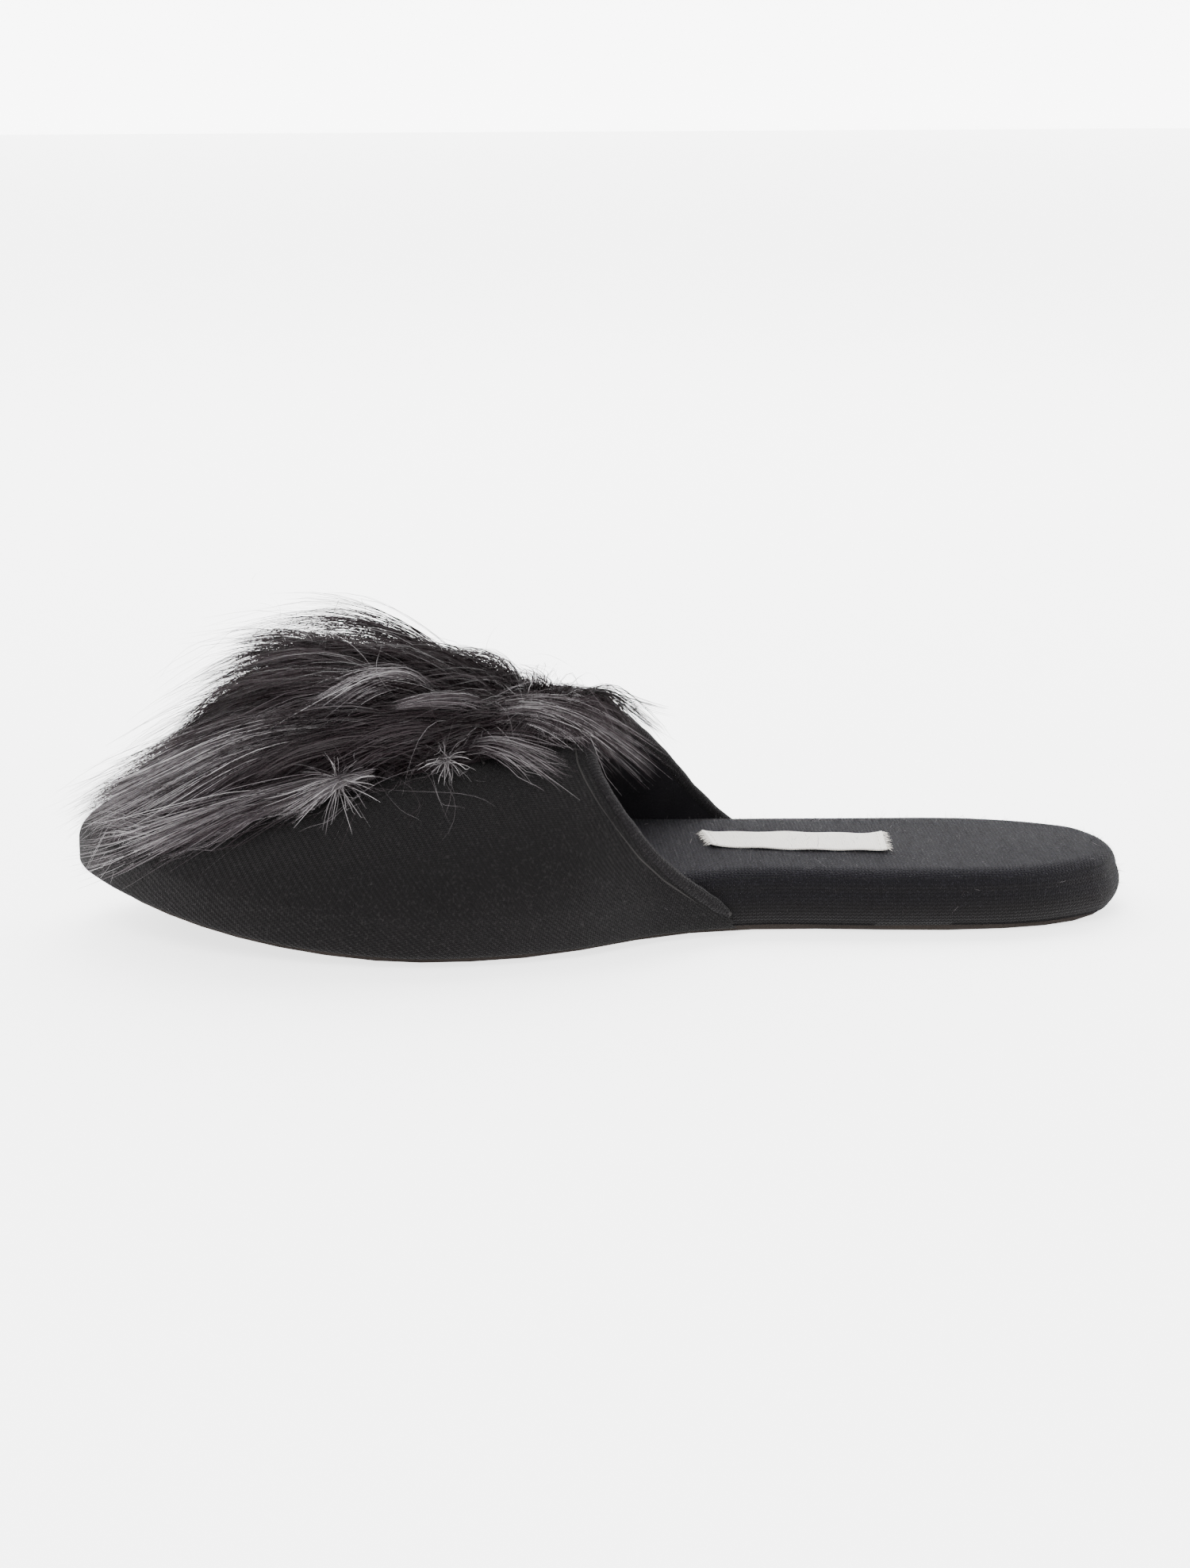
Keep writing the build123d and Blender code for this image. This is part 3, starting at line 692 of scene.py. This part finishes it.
# Guide hairs: each starts at a root on the strip and bends through four more places, root to tip.
GUIDES = np.array([
    [(0, -35, 45), (-1, -49, 61), (-2, -64, 73), (-2, -79, 79), (-3, -94, 78)],
    [(6, -36, 44), (10, -51, 57), (13, -66, 68), (14, -81, 71), (14, -96, 67)],
    [(-8, -36, 44), (-13, -51, 58), (-16, -67, 68), (-17, -82, 70), (-17, -96, 66)],
    [(0, -50, 43), (0, -63, 56), (0, -78, 66), (0, -96, 68), (-1, -111, 60)],
    [(8, -50, 42), (15, -61, 53), (19, -74, 59), (20, -87, 56), (18, -99, 46)],
    [(-10, -50, 42), (-17, -61, 53), (-22, -74, 59), (-23, -87, 56), (-21, -99, 46)],
    [(0, -64, 40), (1, -76, 50), (1, -88, 56), (0, -102, 54), (-1, -115, 44)],
    [(9, -62, 40), (18, -72, 45), (23, -84, 46), (22, -96, 41), (18, -107, 33)],
    [(-11, -62, 40), (-20, -72, 45), (-26, -84, 46), (-26, -96, 41), (-23, -107, 33)],
    [(0, -78, 37), (2, -90, 42), (1, -104, 41), (-1, -117, 34), (-4, -129, 26)],
    [(8, -76, 37), (16, -87, 37), (18, -101, 33), (15, -113, 27), (8, -125, 21)],
    [(-11, -76, 37), (-20, -87, 37), (-24, -101, 33), (-22, -113, 27), (-16, -124, 21)],
    [(13, -46, 40), (21, -54, 45), (26, -64, 44), (28, -75, 40), (28, -86, 34)],
    [(14, -32, 43), (21, -37, 49), (26, -45, 49), (29, -55, 45), (30, -65, 39)],
    [(12, -20, 46), (17, -21, 53), (21, -25, 54), (24, -32, 51), (26, -40, 46)],
    [(-17, -46, 39), (-27, -54, 43), (-33, -64, 41), (-36, -75, 36), (-35, -86, 30)],
    [(-18, -32, 42), (-28, -36, 47), (-34, -43, 45), (-38, -52, 40), (-39, -62, 34)],
    [(-16, -20, 45), (-24, -20, 52), (-30, -22, 51), (-34, -27, 46), (-36, -34, 40)],
    [(0, -12, 49), (2, -8, 56), (3, -2, 57), (4, 5, 51), (5, 11, 44)],
    [(9, -13, 47), (13, -9, 52), (15, -3, 52), (16, 3, 47), (16, 9, 41)],
    [(-10, -13, 47), (-14, -9, 52), (-17, -4, 51), (-18, 1, 46), (-18, 6, 40)],
    [(0, -24, 47), (0, -20, 57), (-1, -21, 65), (-2, -29, 70), (-3, -40, 73)],
    [(8, -26, 45), (12, -27, 54), (15, -33, 60), (17, -43, 61), (18, -54, 58)],
    [(-10, -26, 45), (-15, -26, 54), (-19, -31, 60), (-21, -40, 61), (-22, -50, 58)],
], dtype=float)
GUIDE_REACH = 6.0
STEPS = 10
CROWN_HEIGHT, CROWN_SHARE = 81, 0.4
ROOT_LIFT = 0.3
ROOT_BATCH = 2000

# Locks that stand out from the coat: their course, width at the root and at the tip, hairs and tint.
LOCKS = [
    ([(8, -42, 58), (12, -50, 64), (15, -60, 63), (16, -70, 57), (15, -79, 50)],
     1.8, 5.5, 300, (0.45, 1.0)),
    ([(14, -58, 49), (18, -72, 52), (19, -89, 49), (13, -108, 38), (3, -127, 26)],
     2.6, 7.5, 620, (0.55, 1.0)),
    ([(9, -62, 50), (14, -78, 53), (13, -96, 48), (8, -113, 37), (-4, -131, 25)],
     2.4, 7.5, 420, (0.35, 0.95)),
    ([(24, -72, 37), (25, -88, 36), (22, -103, 30), (15, -117, 22), (7, -128, 17)],
     2.0, 6.5, 520, (0.5, 1.0)),
    ([(20, -60, 42), (25, -72, 41), (26, -88, 36), (24, -102, 28), (18, -114, 21)],
     2.2, 7.0, 340, (0.3, 0.85)),
    ([(12, -38, 49), (15, -28, 55), (14, -18, 55), (12, -8, 50), (12, 0, 42)],
     1.8, 6.5, 330, (0.35, 0.95)),
    ([(10, -34, 50), (9, -22, 55), (8, -10, 54), (8, 1, 48), (8, 12, 39)],
     2.0, 6.0, 250, (0.3, 0.85)),
    ([(13, -36, 46), (19, -30, 49), (22, -23, 48), (24, -17, 45), (26, -11, 41)],
     1.4, 5.5, 130, (0.35, 0.9)),
    ([(24, -58, 44), (28, -64, 43), (30, -70, 41), (31, -75, 38), (32, -80, 36)],
     0.8, 4.5, 90, (0.55, 1.0)),
    ([(-10, -60, 50), (-17, -76, 53), (-22, -92, 46), (-22, -110, 35), (-15, -126, 25)],
     2.4, 7.0, 400, (0.3, 0.95)),
    ([(-18, -40, 46), (-28, -50, 48), (-34, -62, 43), (-36, -74, 36), (-35, -84, 29)],
     2.4, 7.0, 320, (0.25, 0.9)),
    ([(-4, -30, 56), (-8, -44, 67), (-10, -58, 73), (-10, -72, 74), (-9, -86, 70)],
     2.4, 7.0, 260, (0.3, 0.7)),
]
# Small tufts whose hairs spread every way over the coat: centre, hairs and length.
TUFTS = [
    ((27, -66, 42), 70, 14.0), ((22, -40, 46), 60, 9.0), ((15, -30, 54), 40, 10.0), ((8, -20, 56), 50, 12.0),
]
# The places that single long hairs leave the coat from.
STRAY_PLACES = np.array([
    (14, -34, 47), (20, -44, 45), (4, -30, 60), (0, -60, 72), (-6, -80, 72), (22, -62, 42),
], dtype=float)
STRAYS = 150


def spline_through(places, t):
    """Catmull-Rom curves through places (..., k, 3), at the shares t of their course."""
    first = 2 * places[..., :1, :] - places[..., 1:2, :]
    last = 2 * places[..., -1:, :] - places[..., -2:-1, :]
    padded = np.concatenate([first, places, last], axis=-2)
    spans = places.shape[-2] - 1
    at = np.clip(t * spans, 0, spans - 1e-6)
    span = at.astype(int)
    f = (at - span)[..., None]
    p0, p1, p2, p3 = (padded[..., span + k, :] for k in range(4))
    curve = 2 * p1 + (p2 - p0) * f + (2 * p0 - 5 * p1 + 4 * p2 - p3) * f**2
    return 0.5 * (curve + (3 * p1 - p0 - 3 * p2 + p3) * f**3)


def guided(roots, reach):
    """Hair paths from roots (x, y): a blend of the guides whose roots are near, cut to reach."""
    gap = roots[:, None, :] - GUIDES[None, :, 0, :2]
    weight = np.exp(-(gap**2).sum(2) / (2 * GUIDE_REACH**2)) + 1e-9
    weight /= weight.sum(1, keepdims=True)
    course = np.einsum("ng,gkc->nkc", weight, GUIDES - GUIDES[:, :1])
    foot = np.column_stack([roots, vamp_top(roots[:, 0], roots[:, 1]) + ROOT_LIFT])
    bends = foot[:, None, :] + course * reach[:, None, None]
    return spline_through(bends, np.linspace(0, 1, STEPS))


def keep_off(paths, clear):
    """Lifts hairs that dip into the vamp back over it, and flattens those that stand above the crown."""
    x, y, z = paths[..., 0], paths[..., 1], paths[..., 2]
    inner, outer = sides(WALL, y)
    over = (x > inner + 0.5) & (x < outer - 0.5) & (y > tip_of(WALL) + 1)
    floor = vamp_top(x, y, 0.6) + clear[:, None] * np.linspace(0.2, 1, paths.shape[1])
    on_vamp = over & (y < topline_y(x, z))
    z = np.where(on_vamp, np.maximum(z, floor), z)
    paths[..., 2] = np.where(z > CROWN_HEIGHT, CROWN_HEIGHT + (z - CROWN_HEIGHT) * CROWN_SHARE, z)
    return paths


def wander(count, amount):
    """A slow random waver along each hair, growing towards its tip."""
    t = np.linspace(0, 1, STEPS)[None, :, None]
    phase = RANDOM.uniform(0, 2 * pi, (count, 1, 3))
    turns = RANDOM.uniform(1.5, 5.0, (count, 1, 3))
    lean = RANDOM.normal(0, 1, (count, 1, 3))
    return amount * (lean * t**1.3 + 0.22 * np.sin(turns * t * 2 + phase) * t)


def random_roots(count):
    """Places (x, y) spread evenly over the fur strip."""
    radius, angle = np.sqrt(RANDOM.uniform(0, 1, count)), RANDOM.uniform(0, 2 * pi, count)
    disc = np.stack([radius * np.cos(angle), radius * np.sin(angle)], 1)
    return disc * (FUR_HALF_WIDTH, FUR_HALF_LENGTH) + (FUR_X, FUR_Y)


def nearest_centre(roots, centres):
    """The number of the clump centre that each root is nearest to."""
    owner = np.empty(len(roots), dtype=int)
    for start in range(0, len(roots), ROOT_BATCH):
        batch = slice(start, start + ROOT_BATCH)
        owner[batch] = np.linalg.norm(roots[batch, None, :] - centres[None], axis=2).argmin(1)
    return owner


def coat(name, count, reach, clumps, clumping, stray, clear, tint, width):
    """One layer of the coat: hairs that follow the guides and gather into clumps towards their tips."""
    roots, centres = random_roots(count), random_roots(clumps)
    owner = nearest_centre(roots, centres)
    own_reach = RANDOM.uniform(*reach, clumps)
    clump_paths = guided(centres, own_reach) + wander(clumps, 4.2)
    hair_reach = own_reach[owner] * RANDOM.uniform(0.72, 1.06, count)
    paths = guided(roots, hair_reach) + wander(count, stray)
    pull = clumping * np.linspace(0, 1, STEPS)[None, :, None] ** 0.9
    paths = paths * (1 - pull) + clump_paths[owner] * pull
    paths = keep_off(paths, RANDOM.uniform(0.2, clear, count))
    shade = RANDOM.normal(0.5, 0.28, clumps)[owner] + RANDOM.normal(0, 0.1, count)
    tints = np.clip(tint[0] + (tint[1] - tint[0]) * shade, 0.02, 0.98)
    facing = RANDOM.normal(0, 1, (count, 3))
    return ribbons(name, paths, RANDOM.uniform(*width, count), tints, facing, HAIR)


def lock_paths(bends, root_width, tip_width, count):
    """The hairs of one lock along its course."""
    t = np.linspace(0, 1, STEPS)
    ends = RANDOM.uniform(0.62, 1.04, count)
    places = np.broadcast_to(np.array(bends, dtype=float), (count, len(bends), 3))
    paths = np.stack([spline_through(places[k], t * min(1.0, ends[k])) for k in range(count)])
    width = root_width + (tip_width - root_width) * t[None, :, None] ** 1.5
    return paths + RANDOM.normal(0, 1, (count, 1, 3)) * width / 2 + wander(count, 1.1)


def tuft_paths(centre, count, length):
    """Short hairs that spread from one place over the coat."""
    heading = RANDOM.normal(0, 1, (count, 3)) * (0.55, 1.0, 0.8) + (0.5, 0, 0.1)
    heading /= np.linalg.norm(heading, axis=1, keepdims=True)
    t = np.linspace(0, 1, STEPS)[None, :, None]
    size = RANDOM.uniform(0.45, 1.0, count)[:, None, None] * length
    start = np.array(centre) + RANDOM.normal(0, 0.7, (count, 1, 3))
    fall = np.array([0, 0, -1.0]) * t**2 * size * 0.25
    return start + heading[:, None, :] * t * size + fall + wander(count, 0.8)


def build_locks():
    """The silver and mauve locks and tufts that lie over the coat."""
    paths, tints = [], []
    for bends, root_width, tip_width, count, tint in LOCKS:
        paths.append(lock_paths(bends, root_width, tip_width, count))
        tints.append(RANDOM.uniform(*tint, count))
    for centre, count, length in TUFTS:
        paths.append(tuft_paths(centre, count, length))
        tints.append(RANDOM.uniform(0.72, 1.0, count))
    paths, tints = np.concatenate(paths), np.concatenate(tints)
    paths = keep_off(paths, RANDOM.uniform(0.6, 3.5, len(paths)))
    facing = RANDOM.normal(0, 1, (len(paths), 3))
    return ribbons("fur_locks", paths, RANDOM.uniform(0.11, 0.2, len(paths)), tints, facing, HAIR)


def build_strays():
    """Long single hairs that leave the coat and curl."""
    count = STRAYS
    start = STRAY_PLACES[RANDOM.integers(0, len(STRAY_PLACES), count)] + RANDOM.normal(0, 4, (count, 3))
    heading = RANDOM.normal(0, 1, (count, 3)) * (0.6, 1.0, 0.55) + (0.35, -0.25, 0.0)
    heading /= np.linalg.norm(heading, axis=1, keepdims=True)
    t = np.linspace(0, 1, STEPS)[None, :, None]
    size = RANDOM.uniform(12, 34, count)[:, None, None]
    turn = np.stack([np.sin(t[..., 0] * 5 + k) for k in range(3)], -1)
    turn = turn * RANDOM.normal(0, 1.6, (count, 1, 3))
    fall = np.array([0, 0, -1.0]) * t**2 * size * 0.4
    paths = start[:, None, :] + heading[:, None, :] * t * size + fall + turn
    paths = keep_off(paths, RANDOM.uniform(0.1, 0.8, count))
    facing = RANDOM.normal(0, 1, (count, 3))
    widths, tints = RANDOM.uniform(0.08, 0.13, count), RANDOM.uniform(0.4, 0.95, count)
    return ribbons("fur_strays", paths, widths, tints, facing, HAIR)


def build_fur():
    """The fur: a short dense ground, the long coat in clumps, silver locks, and stray hairs."""
    # Each layer's name, hairs, reach, clumps, their pull, stray, clearance, tint and hair width.
    pieces = [
        coat("fur_under_a", 10800, (0.22, 0.55), 600, 0.35, 2.2, 2.0, (0.02, 0.25), (0.22, 0.36)),
        coat("fur_under_b", 10800, (0.5, 0.9), 420, 0.45, 3.0, 3.0, (0.02, 0.25), (0.2, 0.34)),
        coat("fur_coat_a", 10800, (0.7, 1.0), 300, 0.72, 3.0, 4.0, (0.05, 0.46), (0.16, 0.27)),
        coat("fur_coat_b", 10800, (0.5, 0.95), 380, 0.66, 3.4, 3.5, (0.05, 0.44), (0.16, 0.27)),
        coat("fur_coat_c", 10800, (0.62, 1.06), 240, 0.78, 3.0, 5.0, (0.08, 0.58), (0.14, 0.24)),
        coat("fur_wisps", 1500, (0.95, 1.2), 130, 0.62, 6.0, 6.0, (0.15, 0.7), (0.09, 0.15)),
        build_locks(),
        build_strays(),
    ]
    for k, piece in enumerate(pieces):
        finish_piece(piece, ["fur_pile"] if k == 0 else ())


# ---------------------------------------------------------------- fuzz and lint on the knit

# Fibres grow above this height: their number on each knit and a fibre's width, and the same for lint.
FUZZ_LOW = 4.5
FUZZ_COUNT, FUZZ_WIDTH = 14000, 0.06
LINT_COUNT, LINT_WIDTH = 60, 0.09

def fuzz(name, points, normals, areas, count, length, tint, width):
    """Short fibres that stand off a knitted surface, evenly over its area."""
    pick = RANDOM.choice(len(points), count, p=areas / areas.sum())
    start = points[pick] + RANDOM.normal(0, 0.45, (count, 3))
    start += normals[pick] * (0.05 - ((start - points[pick]) * normals[pick]).sum(1, keepdims=True))
    heading = normals[pick] * RANDOM.uniform(0.1, 0.6, (count, 1)) + RANDOM.normal(0, 0.6, (count, 3))
    t = np.linspace(0, 1, 4)[None, :, None]
    size = RANDOM.uniform(*length, count)[:, None, None]
    bend = RANDOM.normal(0, 0.5, (count, 1, 3))
    paths = start[:, None, :] + (heading[:, None, :] * t + bend * t**2) * size
    facing = RANDOM.normal(0, 1, (count, 3))
    return ribbons(name, paths, np.full(count, width), RANDOM.uniform(*tint, count), facing, HAIR)


def surface_samples(obj):
    """The centres, in millimetres, normals and areas of a mesh's faces."""
    count = len(obj.data.polygons)
    centres, normals, areas = np.empty(count * 3), np.empty(count * 3), np.empty(count)
    obj.data.polygons.foreach_get("center", centres)
    obj.data.polygons.foreach_get("normal", normals)
    obj.data.polygons.foreach_get("area", areas)
    return centres.reshape(-1, 3) / MM, normals.reshape(-1, 3), areas


def build_fuzz(vamp, footbed):
    """Fine fuzz over the knits and a few pale specks of lint."""
    for obj, slot in ((vamp, "vamp_knit"), (footbed, "footbed_knit")):
        points, normals, areas = surface_samples(obj)
        ground = points, normals, np.where(points[:, 2] > FUZZ_LOW, areas, 0)
        fibres = fuzz(f"{obj.name}_fuzz", *ground, FUZZ_COUNT, (0.4, 1.2), (0.05, 0.4), FUZZ_WIDTH)
        finish_piece(fibres)
        lint = fuzz(f"{obj.name}_lint", *ground, LINT_COUNT, (0.5, 2.2), (0.7, 0.9), LINT_WIDTH)
        finish_piece(lint)


# ---------------------------------------------------------------- the setting

LOOK = np.array([0.0195, -0.0034, 0.0386])
CAMERA_DISTANCE = 0.95
CAMERA_RISE, CAMERA_TURN = radians(14), radians(4)
LENS, SENSOR, CLIP_END = 89.1, 36, 20
# The floor lies just under the sole; the backdrop stands far behind it. Millimetres.
STAGE_SIZE, FLOOR_LOW, BACKDROP_X = 6000.0, -0.3, -2500.0
FLOOR_GLOW, BACKDROP_GLOW = 2.2, 5.0
PAPER_DARK, PAPER_LIGHT = (0.90, 0.90, 0.90, 1), (0.93, 0.93, 0.93, 1)


def build_camera():
    """The camera beside the slipper and a little above it, level and without shift."""
    flat = cos(CAMERA_RISE)
    back = np.array([flat * cos(CAMERA_TURN), -flat * sin(CAMERA_TURN), sin(CAMERA_RISE)])
    data = bpy.data.cameras.new("camera")
    data.lens = LENS
    data.sensor_width = SENSOR
    data.clip_end = CLIP_END
    camera = bpy.data.objects.new("camera", data)
    camera.location = LOOK + CAMERA_DISTANCE * back
    camera.rotation_euler = (pi / 2 - CAMERA_RISE, 0, pi / 2 - CAMERA_TURN)
    bpy.context.scene.collection.objects.link(camera)
    bpy.context.scene.camera = camera


def area_light(name, place, aim, size, power):
    """A soft square light at a place, turned to an aim."""
    data = bpy.data.lights.new(name, "AREA")
    data.size = size
    data.energy = power
    light = bpy.data.objects.new(name, data)
    light.location = place
    direction = np.array(aim) - np.array(place)
    flat = float(np.hypot(direction[0], direction[1]))
    heading = np.arctan2(direction[1], direction[0]) - pi / 2
    light.rotation_euler = (np.arctan2(flat, -direction[2]), 0, heading)
    bpy.context.scene.collection.objects.link(light)


def paper_material(name, grain, glow):
    """White studio paper with a glow of its own."""
    shader = Shader(name)
    shader.surface.inputs["Emission Color"].default_value = (1, 1, 1, 1)
    shader.surface.inputs["Emission Strength"].default_value = glow
    paper = shader.mix(shader.noise(shader.place(), grain), PAPER_DARK, PAPER_LIGHT)
    return shader.finish(paper, 0.9)


def build_stage():
    """A plain pale floor and backdrop under soft studio light."""
    size, low, far = STAGE_SIZE, FLOOR_LOW, BACKDROP_X
    floor = [(-size, -size, low), (size, -size, low), (size, size, low), (-size, size, low)]
    backdrop = [(far, -size, low), (far, size, low), (far, size, size), (far, -size, size)]
    sheets = (("floor", floor, 8.0, FLOOR_GLOW), ("backdrop", backdrop, 3.0, BACKDROP_GLOW))
    for name, corners, grain, glow in sheets:
        paper = paper_material(f"{name}_paper", grain, glow)
        make_object(name, corners, [(0, 1, 2, 3)], paper, smooth=False)
    world = bpy.data.worlds.new("studio")
    world.use_nodes = True
    world.node_tree.nodes["Background"].inputs["Color"].default_value = (1, 1, 1, 1)
    world.node_tree.nodes["Background"].inputs["Strength"].default_value = 1.0
    bpy.context.scene.world = world
    area_light("key", (0.9, -0.5, 1.2), (0, 0, 0.03), 0.9, 22)
    area_light("back", (-0.8, 0.1, 0.9), (0, 0, 0.05), 0.8, 16)
    area_light("front", (1.2, 0.6, 0.5), (0, 0, 0.02), 0.8, 9)


dress_nodes()
footbed = build_footbed()
vamp, outside_grid = build_vamp()
inside_grid = build_lining()
build_topline(outside_grid, inside_grid)
build_label()
build_fur()
build_fuzz(vamp, footbed)
build_camera()
build_stage()
